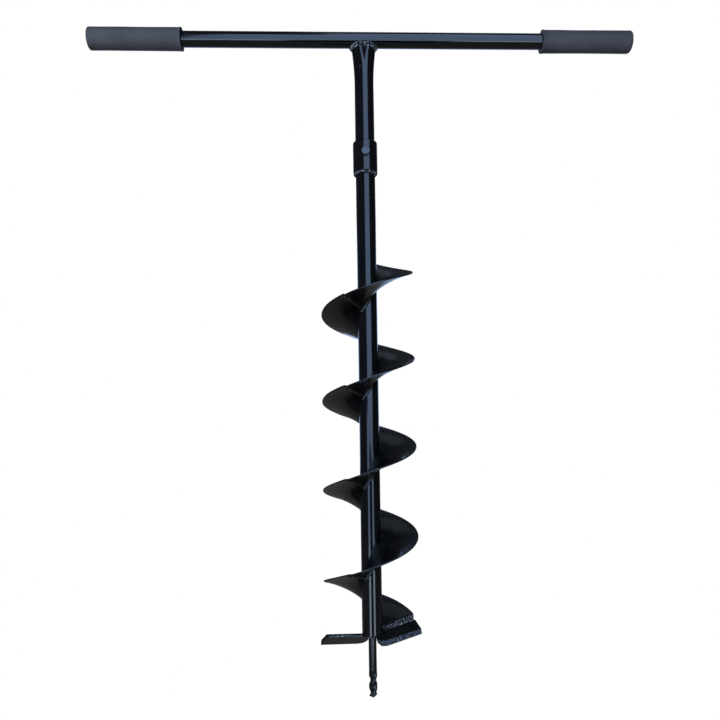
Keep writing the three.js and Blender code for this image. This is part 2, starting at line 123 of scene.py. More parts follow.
def bumps(tree, *layers):
    """Bump nodes in a chain, from (height, strength, distance in metres) layers."""
    normal = None
    for height, strength, distance in layers:
        inputs = {"Height": height, "Strength": strength, "Distance": distance}
        if normal:
            inputs["Normal"] = normal
        normal = add(tree, "Bump", inputs).outputs["Normal"]
    return normal


def finish_material(name, **sockets):
    """A new material. Each shader socket takes a value, or a function that builds its pattern."""
    made = bpy.data.materials.new(name)
    made.use_nodes = True
    shader = made.node_tree.nodes["Principled BSDF"]
    for key, given in sockets.items():
        socket = shader.inputs[key.replace("_", " ")]
        if callable(given):
            made.node_tree.links.new(given(made.node_tree), socket)
        else:
            socket.default_value = given
    return made


# Black stove paint on tube: deep gloss, a faint orange peel, and a few hair scratches down its length.
TUBE_BLACK = (0.003, 0.0035, 0.0045)
WORN_BLACK = (0.0055, 0.0058, 0.0066)
SCRATCH_GREY = (0.05, 0.056, 0.065)


def scratches(tree, stretch, share):
    """White where a thin, drawn-out speck of noise crosses its threshold."""
    return ramp(tree, grain(tree, 60, 2, 0.5, stretch), (share, 0.0), (share + 0.012, 1.0))


def gloss_paint(name, stretch, peel=0.06, rough=(0.1, 0.17), share=0.745):
    def colour(tree):
        tint = ramp(tree, grain(tree, 25), (0.35, TUBE_BLACK), (0.75, WORN_BLACK))
        layers = {0: scratches(tree, stretch, share), 6: tint, 7: (*SCRATCH_GREY, 1)}
        return add(tree, "Mix", layers, data_type="RGBA").outputs[2]

    return finish_material(
        name,
        Base_Color=colour,
        Roughness=lambda tree: ramp(tree, grain(tree, 14, 5), (0.3, rough[0]), (0.8, rough[1])),
        Normal=lambda tree: bumps(tree, (grain(tree, 380, 2), peel, 0.0003), (grain(tree, 30), 0.05, 0.002)),
        Coat_Weight=0.35,
        Coat_Roughness=0.04,
        IOR=1.5,
    )


upright_paint = gloss_paint("gloss_black_upright_tube", (9, 9, 0.35))


def add_tube(name, radius, wall, low, high, sides=128, edge=SHAFT_EDGE):
    """An open tube along Z, walled inwards, with its sawn rims eased."""
    bpy.ops.mesh.primitive_cylinder_add(
        vertices=sides, radius=radius, depth=high - low, end_fill_type="NOTHING",
        location=(0, 0, (low + high) / 2))
    tube = bpy.context.object
    tube.name = name
    bpy.ops.object.transform_apply(location=True, rotation=True, scale=True)
    thicken(tube, wall, INWARDS)
    ease_edges(tube, edge, 60, segments=3)
    apply_all(tube)
    return tube


def thicken(piece, thickness, offset):
    """Gives a sheet its thickness, all on the inside or half to each side."""
    plate = piece.modifiers.new("plate", "SOLIDIFY")
    plate.thickness = thickness
    plate.offset = offset
    return plate


def ease_edges(piece, width, angle, segments=2):
    """Rounds every edge that is sharper than an angle in degrees."""
    easing = piece.modifiers.new("eased_edges", "BEVEL")
    easing.width = width
    easing.segments = segments
    easing.limit_method = "ANGLE"
    easing.angle_limit = math.radians(angle)


def select_only(piece):
    bpy.ops.object.select_all(action="DESELECT")
    bpy.context.view_layer.objects.active = piece
    piece.select_set(True)


def apply_all(piece, smooth=35):
    """Applies a piece's modifiers, smooths it up to an angle and lets its large faces set the normals."""
    select_only(piece)
    for modifier in list(piece.modifiers):
        bpy.ops.object.modifier_apply(modifier=modifier.name)
    bpy.ops.object.shade_smooth_by_angle(angle=math.radians(smooth))
    weighting = piece.modifiers.new("weighting", "WEIGHTED_NORMAL")
    weighting.keep_sharp = True
    bpy.ops.object.modifier_apply(modifier=weighting.name)


def fit(piece, body, slot, material, *nodes):
    """Gives a finished piece its material and its body, and hides the CAD nodes that it stands for."""
    if not piece.data.materials:
        piece.data.materials.append(material)
    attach(piece, body)
    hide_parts(*nodes)


shaft = add_tube("painted_shaft_tube", SHAFT_RADIUS, SHAFT_WALL, shaft_low.z, shaft_high.z)
fit(shaft, "auger", "black_paint", upright_paint, "shaft_tube")

# ---- End plug ----
# A turned steel ring pressed into the shaft's lower end, which centres the pilot rod. Only its
# lower face shows, between the blades.
PLUG_EDGE = 0.0006
PLUG_GAP = 0.0002  # between the ring and the rod
PILOT_RADIUS = 0.0062

plug_low, plug_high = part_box("end_plug")
plug = add_tube("turned_end_plug", plug_high.x, plug_high.x - PILOT_RADIUS - PLUG_GAP,
                plug_low.z, plug_high.z, sides=96, edge=PLUG_EDGE)
fit(plug, "auger", "black_paint", upright_paint, "end_plug")

# ---- Flight ----
# Five lengths of 2 mm steel strip, each pressed into nearly one turn of a right-hand helix. The
# root sits lower than the rim, so each turn is a shallow dish, and the lengths are butt-welded.
FLIGHT_RADIUS = 0.075
PITCH = 0.1404
PLATE = 0.002
ROOT_DROP = 0.0155
DISH_CURVE = 1.35  # above 1, the plate is hollow and drops most near its root
FLIGHT_ABOVE = 0.0107  # rim's height over the shaft's end, at no turn
FLIGHT_START, FIRST_SEAM, FLIGHT_STOP = 24.0, 238.4, 1528.0  # degrees round from +X
RIM_STEP, RIM_STEP_SPAN = 0.0009, 12.0  # how far a rim stands out at a seam, and over how many degrees
RIM_WAVER = 0.0006
SAG_AT_SEAM, SAG_AT_END = (0.0016, 55.0), (0.0015, 30.0)  # depth, and degrees that it fades over
STEP_ANGLE = 3.0  # degrees of turn for each strip of faces
BANDS = 10
RIM_EDGE = 0.0005

FLIGHT_ROOT = SHAFT_RADIUS - 0.0001


def root_share(radius):
    """How near a radius is to the flight's root: 0 at the rim and 1 at the shaft."""
    return min(1, max(0, (FLIGHT_RADIUS - radius) / (FLIGHT_RADIUS - FLIGHT_ROOT)))


def flight_height(angle, radius):
    """Height of the plate's middle at a turn angle in degrees and a radius."""
    drop = ROOT_DROP * root_share(radius) ** DISH_CURVE
    return shaft_low.z + FLIGHT_ABOVE + PITCH * angle / 360 - drop


def sag(turned, radius, depth_and_span):
    """How far the rim hangs below the true helix, past the seam or end that a length starts at."""
    depth, span = depth_and_span
    return depth * max(0, 1 - turned / span) * (1 - root_share(radius))


def polar(radius, angle, height):
    """The point at a radius from the shaft's axis, degrees round from +X, and a height."""
    return Vector((radius * math.cos(math.radians(angle)), radius * math.sin(math.radians(angle)), height))


def wound_grid(name, across, along, place):
    """A flat grid whose vertices are moved to place(share across, share along)."""
    bpy.ops.mesh.primitive_grid_add(x_subdivisions=across, y_subdivisions=along, size=1)
    piece = bpy.context.object
    piece.name = name
    for vertex in piece.data.vertices:
        vertex.co = place(vertex.co.x + 0.5, vertex.co.y + 0.5)
    return piece


def flight_length(name, start, stop, after_seam, before_seam):
    """One pressed length, whose rim stands a little out where it ends at a seam and in where it starts."""
    droop = SAG_AT_SEAM if after_seam else SAG_AT_END

    def place(out, round_share):
        angle = start + (stop - start) * round_share
        rim = FLIGHT_RADIUS
        if before_seam:
            rim += RIM_STEP * max(0, 1 - (stop - angle) / RIM_STEP_SPAN)
        if after_seam:
            rim -= RIM_STEP * max(0, 1 - (angle - start) / RIM_STEP_SPAN)
        radius = FLIGHT_ROOT + (rim - FLIGHT_ROOT) * out
        waver = RIM_WAVER * out * noise.noise((angle / 40, out * 1.5, start / 90))
        return polar(radius, angle, flight_height(angle, radius) - sag(angle - start, radius, droop) + waver)

    length = wound_grid(name, BANDS, round((stop - start) / STEP_ANGLE), place)
    thicken(length, PLATE, MIDDLE).use_even_offset = True
    ease_edges(length, RIM_EDGE, 50)
    apply_all(length)
    return length


# Paint on the pressed strip: less even than on the tube, with dull patches here and there.
sheet_paint = finish_material(
    "gloss_black_strip",
    Base_Color=lambda tree: ramp(
        tree, grain(tree, 18, 6), (0.3, (0.0025, 0.0028, 0.003)), (0.6, (0.0045, 0.0048, 0.0046)),
        (0.78, (0.009, 0.0092, 0.0088))),
    Roughness=lambda tree: ramp(tree, grain(tree, 22, 6), (0.3, 0.2), (0.75, 0.38)),
    Normal=lambda tree: bumps(tree, (grain(tree, 300, 3), 0.12, 0.0003), (grain(tree, 26), 0.2, 0.002)),
    Coat_Weight=0.25,
    Coat_Roughness=0.1,
    IOR=1.5,
)

seams = []
while FIRST_SEAM + 360 * len(seams) < FLIGHT_STOP:
    seams.append(FIRST_SEAM + 360 * len(seams))
ends = [FLIGHT_START, *seams, FLIGHT_STOP]
for k, (start, stop) in enumerate(zip(ends, ends[1:])):
    number = len(ends) - 1 - k
    flight = flight_length(f"pressed_flight_{number}", start, stop, start > FLIGHT_START, stop < FLIGHT_STOP)
    fit(flight, "auger", "black_paint", sheet_paint, f"flight_{number}")

# ---- Flight welds ----
# Each seam is closed by a bead under the plate, and the root is stitched to the shaft by a fillet
# that runs on past the seam. Hand-laid, so the beads are rippled and uneven, then painted over.
BEAD_SIDES = 14
RIPPLE = 0.0021  # from one ripple to the next
RIPPLE_STEPS = 6
BEAD_BELOW = 0.6  # a bead's middle under the plate's, in plate thicknesses
SEAM_BEAD_RADIUS, ROOT_BEAD_RADIUS = 0.0022, 0.0027
SEAM_BEAD_INNER, SEAM_BEAD_OUTER = SHAFT_RADIUS + 0.008, FLIGHT_RADIUS - 0.0035
SEAM_WEAVE = 1.2  # degrees
ROOT_BEAD_BEFORE, ROOT_BEAD_AFTER = 8, 46  # degrees either side of a seam
ROOT_BEAD_OUT, ROOT_BEAD_DROP = 0.0012, 0.0014
MERGE_WITHIN = 1e-6


def evenly(first, last, steps):
    """Evenly spaced values, with both ends."""
    return [first + (last - first) * i / steps for i in range(steps + 1)]


def seal(piece, fill=False):
    """Joins the edges that meet, closes the open ends if asked, and turns the faces out."""
    select_only(piece)
    bpy.ops.object.mode_set(mode="EDIT")
    bpy.ops.mesh.select_all(action="SELECT")
    bpy.ops.mesh.remove_doubles(threshold=MERGE_WITHIN)
    if fill:
        bpy.ops.mesh.select_all(action="DESELECT")
        bpy.ops.mesh.select_mode(type="EDGE")
        bpy.ops.mesh.select_non_manifold(extend=False)
        bpy.ops.mesh.fill_holes(sides=0)
        bpy.ops.mesh.select_all(action="SELECT")
    bpy.ops.mesh.normals_make_consistent(inside=False)
    bpy.ops.object.mode_set(mode="OBJECT")


def bead(name, points, radius, ripple=RIPPLE, depth=0.2, closed=False):
    """A rippled weld bead along a line of points: a tube whose size saws back and forth."""
    curve = bpy.data.curves.new(name, "CURVE")
    curve.dimensions = "3D"
    curve.bevel_depth = 1
    curve.bevel_resolution = BEAD_SIDES // 2 - 2
    curve.use_fill_caps = True
    fine = [points[0]]
    for a, b in zip(points, points[1:]):
        steps = max(1, round((b - a).length / (ripple / RIPPLE_STEPS)))
        fine += [a.lerp(b, (i + 1) / steps) for i in range(steps)]
    if closed:
        fine.pop()
    line = curve.splines.new("POLY")
    line.points.add(len(fine) - 1)
    line.use_cyclic_u = closed
    travelled = 0
    for i, point in enumerate(fine):
        travelled += (point - fine[i - 1]).length if i else 0
        phase = travelled / ripple + 0.35 * noise.noise((travelled * 300, radius * 900, 0.5))
        saw = (phase % 1) ** 0.6
        end = 1 if closed else min(1, 0.35 + 2.5 * min(i, len(fine) - 1 - i) / (2 * RIPPLE_STEPS))
        uneven = 1 + 0.12 * noise.noise((travelled * 130, 3.7, radius * 500))
        line.points[i].co = (*point, 1)
        line.points[i].radius = radius * end * uneven * (1 - depth * saw)
    piece = bpy.data.objects.new(name, curve)
    bpy.context.scene.collection.objects.link(piece)
    select_only(piece)
    bpy.ops.object.convert(target="MESH")
    piece = bpy.context.object
    seal(piece)
    apply_all(piece, 50)
    return piece


def weld_material(name, painted_crest_glint):
    """Paint over weld metal, thick and dark in the valleys, with a painted glint: a lighter colour on the
    crests.
    """
    return finish_material(
        name,
        Base_Color=lambda tree: ramp(
            tree, grain(tree, 420, 3), (0.35, (0.005, 0.0055, 0.007)),
            (0.54, [channel * 0.1 for channel in painted_crest_glint]), (0.61, painted_crest_glint)),
        Roughness=lambda tree: ramp(tree, grain(tree, 260, 2), (0.3, 0.1), (0.7, 0.3)),
        Normal=lambda tree: bumps(tree, (grain(tree, 900, 3), 0.35, 0.0004)),
        Coat_Weight=0.5,
        Coat_Roughness=0.08,
        IOR=1.6,
    )


# The crest colours are painted glints: dim on the flight's welds, which sit in shade, and bright on the welds
# out in the light.
weld_paint_dim_painted_glints = weld_material("gloss_black_flight_weld_dim_painted_glints", (0.03, 0.034, 0.04))
weld_paint_with_painted_glints = weld_material("gloss_black_weld_painted_glints", (0.34, 0.38, 0.44))


def under_flight(angle, radius, droop):
    """Height of a bead's middle under the flight, where the flight sags by a droop."""
    return flight_height(angle, radius) - PLATE * BEAD_BELOW - droop


for k, angle in enumerate(seams):
    number = len(seams) - k
    seam_points = []
    for i, radius in enumerate(evenly(SEAM_BEAD_INNER, SEAM_BEAD_OUTER, 24)):
        droop = sag(0, radius, SAG_AT_SEAM) + 0.0002
        weave = SEAM_WEAVE * math.sin(i * 0.8)
        seam_points.append(polar(radius, angle + weave, under_flight(angle, radius, droop)))
    seam_bead = bead(f"seam_bead_{number}", seam_points, SEAM_BEAD_RADIUS)
    fit(seam_bead, "auger", "painted_weld", weld_paint_dim_painted_glints, f"flight_seam_weld_{number}")
    turn = range(-ROOT_BEAD_BEFORE, ROOT_BEAD_AFTER + 1, 3)
    out = SHAFT_RADIUS + ROOT_BEAD_OUT
    root_points = [polar(out, angle + a, under_flight(angle + a, out, ROOT_BEAD_DROP)) for a in turn]
    root_bead = bead(f"root_bead_{number}", root_points, ROOT_BEAD_RADIUS)
    fit(root_bead, "auger", "painted_weld", weld_paint_dim_painted_glints, f"flight_root_weld_{number}")

# ---- Pilot ----
# A 12 mm round bar let into the end plug. Its lower end is forged flat, twisted one right-hand turn
# and spread to a fishtail point that starts the hole.
TWIST_TOP = 0.0383  # where the flat begins, over the point
HALF_TURN = 0.01875
FLAT_HALF_WIDE, FLAT_HALF_THIN = 0.0064, 0.0042
TAIL_HALF_WIDE, TAIL_HEIGHT = 0.0079, 0.0042
FLATTEN_OVER, SPREAD_OVER = 0.005, 0.009  # lengths that the flat and the tail take to form
TIP_WIDE, TIP_THIN = 0.12, 0.2  # what is left at the very point, as shares of the tail
PILOT_SIDES, PILOT_STEPS = 48, 150
TWIST_LEAD = 22  # degrees that the twist is turned on by

pilot_low, pilot_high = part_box("pilot_bit")


def pilot_place(round_share, height_share):
    """The forged rod's skin: round above, a twisted flat below, and spread at the tail."""
    height = pilot_low.z + (pilot_high.z - pilot_low.z) * height_share ** 1.5
    flatten = min(1, max(0, (TWIST_TOP + 0.002 - height) / FLATTEN_OVER))
    flatten = flatten * flatten * (3 - 2 * flatten)
    wide, thin = FLAT_HALF_WIDE, FLAT_HALF_THIN
    spread = max(0, 1 - (height - TAIL_HEIGHT) / SPREAD_OVER) if height > TAIL_HEIGHT else 1
    wide += (TAIL_HALF_WIDE - wide) * spread * spread
    if height < TAIL_HEIGHT:
        wide *= TIP_WIDE + (1 - TIP_WIDE) * height / TAIL_HEIGHT
        thin *= TIP_THIN + (1 - TIP_THIN) * height / TAIL_HEIGHT
    wide = PILOT_RADIUS + (wide - PILOT_RADIUS) * flatten
    thin = PILOT_RADIUS + (thin - PILOT_RADIUS) * flatten
    turn = 2 * math.pi * round_share
    bow = 0.62 + 0.38 * (1 - flatten)  # squarer corners on the flat than on the round bar
    x = wide * math.copysign(abs(math.cos(turn)) ** bow, math.cos(turn))
    y = thin * math.copysign(abs(math.sin(turn)) ** bow, math.sin(turn))
    twist = math.pi * min(0, height - TWIST_TOP) / HALF_TURN + math.radians(TWIST_LEAD)
    return Matrix.Rotation(twist, 3, "Z") @ Vector((x, y, height))


pilot = wound_grid("forged_pilot_point", PILOT_SIDES, PILOT_STEPS, pilot_place)
seal(pilot, fill=True)
apply_all(pilot, 40)
fit(pilot, "auger", "black_paint", upright_paint, "pilot_bit")

# ---- Cutting blades ----
# Two flats of 5 mm spring steel, welded back to back across the shaft's end. Each leans forward and
# has its lower edge ground to a chisel bevel, whose rough grinding marks show through the paint.
BLADE_WIDTH, BLADE_PLATE = 0.0241, 0.005
BLADE_TILT, BLADE_SWEEP, BLADE_RISE = 41.4, 25.2, 7.6  # degrees
BLADE_BEVEL, BLADE_LAND = 0.0065, 0.0006
BLADE_BEHIND, BLADE_BELOW = 0.0004, 0.0025
BLADE_REACH = FLIGHT_RADIUS + 0.003
BLADE_EDGE = 0.0004
TIP_LEAN = 0.0016  # how far the tip is ground back along its bevel
HEEL_GAP = 0.0002  # between a heel and the tube or rod that it is welded to
# The heel narrows towards the pilot, and ends in a tab that stops just short of the axis.
HEEL = {"inner": 0.0068, "rise": 0.0024, "tab_inner": 0.0032, "tab_low": 0.0086, "tab_high": 0.013}

# A blade's own directions: out along its edge, up its face, and out of its face.
along = polar(1, BLADE_SWEEP, math.tan(math.radians(BLADE_RISE))).normalized()
across = polar(1, BLADE_SWEEP + 90, 0)
steep = along.cross(across)
up = across * math.cos(math.radians(BLADE_TILT)) + steep * math.sin(math.radians(BLADE_TILT))
normal = along.cross(up)
blade_top = across * BLADE_BEHIND + Vector((0, 0, shaft_low.z - BLADE_BELOW))


def blade_point(u, v, w):
    """The point at u out along the blade, v up from its edge and w out of its middle plane."""
    return blade_top + along * u + up * (v - BLADE_WIDTH) + normal * w


def reach_at(radius):
    """How far out along the blade's top line a radius from the axis is met."""
    flat = Vector((along.x, along.y))
    start = Vector((blade_top.x, blade_top.y))
    a, b = flat.dot(flat), flat.dot(start)
    return (-b + math.sqrt(b * b - a * (start.dot(start) - radius * radius))) / a


BLADE_LENGTH = reach_at(BLADE_REACH)


def blade_section(u, low, high, lean=0.0):
    """The five corners of the plate cut across at u, with the bevel along its lower edge."""
    half = BLADE_PLATE / 2
    return [
        blade_point(u, low, -half),
        blade_point(u, high, -half),
        blade_point(u, high, half),
        blade_point(u + lean, min(low + BLADE_BEVEL, high), half),
        blade_point(u + lean * 0.4, low, -half + BLADE_LAND),
    ]


def cut_by(piece, tool, keep="DIFFERENCE"):
    """Cuts a tool's shape out of a piece, or keeps what is inside it, and throws the tool away."""
    saw = piece.modifiers.new("cut", "BOOLEAN")
    saw.object = tool
    saw.solver = "EXACT"
    saw.operation = keep
    select_only(piece)
    bpy.ops.object.modifier_apply(modifier=saw.name)
    bpy.data.objects.remove(tool)


def add_rod(radius, low, high, sides=64):
    """A solid rod along Z."""
    bpy.ops.mesh.primitive_cylinder_add(
        vertices=sides, radius=radius, depth=high - low, location=(0, 0, (low + high) / 2))
    bpy.ops.object.transform_apply(location=True, rotation=True, scale=True)
    return bpy.context.object


def blade_plate(name):
    stations = [
        blade_section(HEEL["tab_inner"], HEEL["tab_low"], HEEL["tab_high"]),
        blade_section(HEEL["inner"], HEEL["rise"], BLADE_WIDTH),
        blade_section(SHAFT_RADIUS, 0, BLADE_WIDTH),
        blade_section(BLADE_LENGTH * 0.6, 0, BLADE_WIDTH),
        blade_section(BLADE_LENGTH, 0, BLADE_WIDTH, TIP_LEAN),
    ]
    corners, spans = len(stations[0]), len(stations) - 1
    plate = wound_grid(
        name, corners, spans, lambda i, j: stations[round(j * spans)][round(i * corners) % corners])
    seal(plate, fill=True)
    cut_by(plate, add_rod(SHAFT_RADIUS + HEEL_GAP, shaft_low.z - HEEL_GAP, shaft_high.z))
    cut_by(plate, add_rod(PILOT_RADIUS + HEEL_GAP, TWIST_TOP, shaft_low.z + 0.01))
    ease_edges(plate, BLADE_EDGE, 30)
    apply_all(plate, 25)
    return plate


# The ground bevel: coarse, streaked and speckled where the paint has run off the high marks.
ground_paint = finish_material(
    "painted_over_grinding",
    Base_Color=lambda tree: ramp(
        tree, grain(tree, 380, 5, 0.7, (1, 1, 1.8)), (0.42, (0.004, 0.005, 0.008)),
        (0.52, (0.03, 0.036, 0.05)), (0.6, (0.3, 0.34, 0.42))),
    Roughness=lambda tree: ramp(tree, grain(tree, 300, 3), (0.3, 0.35), (0.75, 0.6)),
    Normal=lambda tree: bumps(tree, (grain(tree, 700, 5, 0.7, (1, 1, 2)), 0.6, 0.0006)),
    IOR=1.45,
)
blade_paint = gloss_paint("gloss_black_blade", (1, 6, 6), peel=0.15, rough=(0.16, 0.3), share=0.72)

# The bevel's own face direction, from the land at the edge to the top of the bevel.
bevel_slope = (up * BLADE_BEVEL + normal * (BLADE_PLATE - BLADE_LAND)).normalized()
bevel_facing = along.cross(bevel_slope)


def paint_blade(plate):
    """Paints a blade, and gives the ground bevel's faces their own rough finish."""
    plate.data.materials.append(blade_paint)
    plate.data.materials.append(ground_paint)
    for face in plate.data.polygons:
        if abs(face.normal.dot(bevel_facing)) > 0.97:
            face.material_index = 1


def half_turned(piece, name):
    """A copy of a piece with its own mesh, turned half round the shaft."""
    select_only(piece)
    bpy.ops.object.duplicate()
    copy = bpy.context.object
    copy.name = name
    copy.data.transform(Matrix.Rotation(math.pi, 4, "Z"))
    return copy


blade_right = blade_plate("ground_blade_1")
paint_blade(blade_right)
blade_left = half_turned(blade_right, "ground_blade_2")
fit(blade_right, "auger", "black_paint", blade_paint, "cutting_blade_1")
fit(blade_left, "auger", "black_paint", blade_paint, "cutting_blade_2")

# ---- Blade welds ----
# The first blade is built up to the flight's lower end by three passes of bead. The second has one
# weaving bead along its upper edge, and short fillets hold both heels to the pilot.
PASSES = (  # height as a share of the gap, bead radius, and depth of its ripples
    (0.12, 0.0027, 0.36),
    (0.3, 0.0022, 0.3),
    (0.9, 0.0015, 0.15),
)
WEAVE = 0.0012
WEB_THICKNESS = 0.0034
WELD_INNER, WELD_OUTER = SHAFT_RADIUS + 0.003, FLIGHT_RADIUS - 0.0005
EDGE_BEAD_RADIUS, EDGE_WEAVES = 0.0016, 46
EDGE_BEAD_INNER, EDGE_BEAD_OUTER = SHAFT_RADIUS + 0.002, BLADE_LENGTH - 0.003
EDGE_BEAD_SIDES = (-BLADE_PLATE / 2 + 0.0006, -BLADE_PLATE / 2 + 0.0021)  # it weaves from one to the other
HEEL_BEAD_RADIUS, HEEL_BEAD_OUT = 0.0028, 0.0016
HEEL_BEAD_FROM, HEEL_BEAD_TO = BLADE_SWEEP + 195, BLADE_SWEEP + 345  # degrees


def join(name, pieces):
    """Several closed pieces as one object."""
    bpy.ops.object.select_all(action="DESELECT")
    for piece in pieces:
        piece.select_set(True)
    bpy.context.view_layer.objects.active = pieces[0]
    bpy.ops.object.join()
    pieces[0].name = name
    return pieces[0]


def built_up_point(radius, share):
    """A point in the gap between the blade's upper edge and the flight's end."""
    low = blade_point(reach_at(radius), BLADE_WIDTH, 0) + Vector((0, 0, 0.001))
    flight_end = flight_height(FLIGHT_START, radius) - sag(0, radius, SAG_AT_END)
    return low.lerp(polar(radius, FLIGHT_START, flight_end - 0.001), share)


passes = []
for k, (share, size, depth) in enumerate(PASSES):
    line = []
    for i, radius in enumerate(evenly(WELD_INNER, WELD_OUTER, 40)):
        weave = across * (WEAVE * math.sin(i * 1.9 + k * 2.1))
        line.append(built_up_point(radius, share) + weave)
    passes.append(bead(f"pass_{k}", line, size, depth=depth))
web = wound_grid("web", 1, 20, lambda i, j: built_up_point(WELD_INNER + (WELD_OUTER - WELD_INNER) * j, i))
thicken(web, WEB_THICKNESS, MIDDLE)
apply_all(web)
fit(join("built_up_blade_weld", [web, *passes]), "auger", "painted_weld", weld_paint_with_painted_glints, "blade_weld_1")

edge_line = []
for i, u in enumerate(evenly(EDGE_BEAD_INNER, EDGE_BEAD_OUTER, EDGE_WEAVES)):
    point = blade_point(u, BLADE_WIDTH - 0.0002, EDGE_BEAD_SIDES[i % 2])
    edge_line.append(Matrix.Rotation(math.pi, 3, "Z") @ point)
edge_bead = bead("weaving_edge_bead", edge_line, EDGE_BEAD_RADIUS, depth=0.3)
fit(edge_bead, "auger", "painted_weld", weld_paint_with_painted_glints, "blade_weld_2")

heel_line = []
for i, angle in enumerate(evenly(HEEL_BEAD_FROM, HEEL_BEAD_TO, 12)):
    drop = 0.003 + 0.0014 * math.sin(i * 1.3)
    heel_line.append(polar(PILOT_RADIUS + HEEL_BEAD_OUT, angle, shaft_low.z - drop))
heel_bead = bead("pilot_fillet_1", heel_line, HEEL_BEAD_RADIUS, depth=0.3)
back_bead = half_turned(heel_bead, "pilot_fillet_2")
fit(heel_bead, "auger", "painted_weld", weld_paint_with_painted_glints, "pilot_weld_1")
fit(back_bead, "auger", "painted_weld", weld_paint_with_painted_glints, "pilot_weld_2")

# ---- Socket ----
# A thick sleeve slid 12 mm over the shaft's top and welded there, which takes the handle's stem.
# Both rims are turned to a chamfer, and it is drilled through for the clamp bolt.
SOCKET_WALL, SOCKET_CHAMFER = 0.0036, 0.0016
SOCKET_BEAD_RADIUS = 0.0026
SOCKET_BEAD_OUT, SOCKET_BEAD_BELOW, SOCKET_BEAD_WAVER = 0.0014, 0.0012, 0.0004
BOLT_HOLE_RADIUS = 0.0045

socket_low, socket_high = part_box("socket_sleeve")
bolt_low, bolt_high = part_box("clamp_bolt")
SOCKET_RADIUS = socket_high.x
BOLT_HEIGHT = (bolt_low.z + bolt_high.z) / 2


def lay_along_y(piece):
    """Turns a piece that was made along Z on to the bolt's line."""
    piece.data.transform(Matrix.Rotation(-math.pi / 2, 4, "X"))
    piece.data.transform(Matrix.Translation((0, 0, BOLT_HEIGHT)))


def bolt_drill(reach):
    drill = add_rod(BOLT_HOLE_RADIUS, -reach, reach, 48)
    lay_along_y(drill)
    return drill


socket = add_tube("turned_socket_sleeve", SOCKET_RADIUS, SOCKET_WALL, socket_low.z, socket_high.z,
                  edge=SOCKET_CHAMFER)
cut_by(socket, bolt_drill(0.04))
apply_all(socket, 30)
fit(socket, "auger", "black_paint", upright_paint, "socket_sleeve")

socket_ring = []
for angle in range(0, 361, 4):
    height = socket_low.z - SOCKET_BEAD_BELOW + SOCKET_BEAD_WAVER * math.sin(angle * 0.11)
    socket_ring.append(polar(SHAFT_RADIUS + SOCKET_BEAD_OUT, angle, height))
socket_bead = bead("socket_ring_bead", socket_ring, SOCKET_BEAD_RADIUS, depth=0.28, closed=True)
fit(socket_bead, "auger", "painted_weld", weld_paint_with_painted_glints, "socket_weld")

# ---- Clamp bolt, washers and nut ----
# An M8 by 55 hexagon bolt in dull blue-grey plating, with a flat washer, a split spring washer and
# a nut. Backing the nut off and drawing the bolt out lets the handle lift from the socket.
THREAD_PITCH, THREAD_LENGTH, THREAD_DEPTH = 0.00125, 0.022, 0.00066
BOLT_RADIUS = 0.004
HEAD_HEIGHT, HEX_FLATS = 0.0053, 0.013
HEX_SLOPE = 30  # degrees of the chamfer on a hexagon's corners
HEX_TURNED = 0.97  # radius of the turned face, as a share of half the flats
SMALL_EDGE, WASHER_EDGE, BOLT_EDGE = 0.0002, 0.0003, 0.00012
WASHER_GAP = 0.0003  # between a washer's bore and the bolt
SPRING_GAP, SPRING_SET = 24, 0.00018  # degrees, and how far each end is set off
THREAD_SIDES, THREAD_STEPS = 36, 8  # steps to each turn of the thread

plating = finish_material(
    "dull_blue_plating",
    Base_Color=lambda tree: ramp(
        tree, grain(tree, 260, 4), (0.3, (0.05, 0.062, 0.078)), (0.7, (0.085, 0.105, 0.13))),
    Metallic=0.35,
    Roughness=lambda tree: ramp(tree, grain(tree, 500, 3), (0.3, 0.3), (0.7, 0.45)),
    Normal=lambda tree: bumps(tree, (grain(tree, 1400, 3), 0.15, 0.0002)),
    IOR=1.6,
)


def hexagon(low, high, *turned_ends):
    """A hexagon bar cut to length, its corners turned off at the given ends: 0 is the low one."""
    corner = HEX_FLATS / 2 / math.cos(math.pi / 6)
    block = add_rod(corner, low, high, 6)
    reach, rise = HEX_FLATS / 2 * HEX_TURNED, 0.004 * math.tan(math.radians(HEX_SLOPE))
    outline = [(reach, 0), (reach + 0.004, rise), (reach + 0.004, 0.03), (0.0001, 0.03)]

    def place(round_share, outline_share):
        radius, height = outline[round(outline_share * 3)]
        return polar(radius, 360 * round_share, height)

    for end in turned_ends:
        kept = wound_grid("kept_inside", 96, 3, place)
        seal(kept, fill=True)
        if end:
            kept.data.transform(Matrix.Scale(-1, 4, (0, 0, 1)))
            kept.data.flip_normals()
        kept.data.transform(Matrix.Translation((0, 0, high if end else low)))
        cut_by(block, kept, keep="INTERSECT")
    return block


head_under = bolt_low.y + HEAD_HEIGHT
tip = bolt_high.y


def threaded(round_share, length_share):
    """The shank's skin, from just inside the head to the tip, with a V groove wound on its end."""
    place = head_under - 0.0005 + (tip - head_under + 0.0005) * length_share
    radius = BOLT_RADIUS - 0.0001
    into = place - (tip - THREAD_LENGTH)
    if into > 0:
        phase = (place / THREAD_PITCH - round_share) % 1
        groove = 1 - abs(2 * phase - 1)
        radius -= THREAD_DEPTH * min(1, into / 0.002) * groove
    radius -= 0.0006 * max(0, 1 - (tip - place) / 0.0008)
    return polar(radius, 360 * round_share, place)


shank_steps = round((tip - head_under) / THREAD_PITCH * THREAD_STEPS)
shank = wound_grid("shank", THREAD_SIDES, shank_steps, threaded)
seal(shank, fill=True)
head = hexagon(bolt_low.y, head_under, 0)
bolt = join("hexagon_clamp_bolt", [head, shank])
lay_along_y(bolt)
ease_edges(bolt, BOLT_EDGE, 55)
apply_all(bolt, 30)
fit(bolt, "bolt", "fastener", plating, "clamp_bolt")

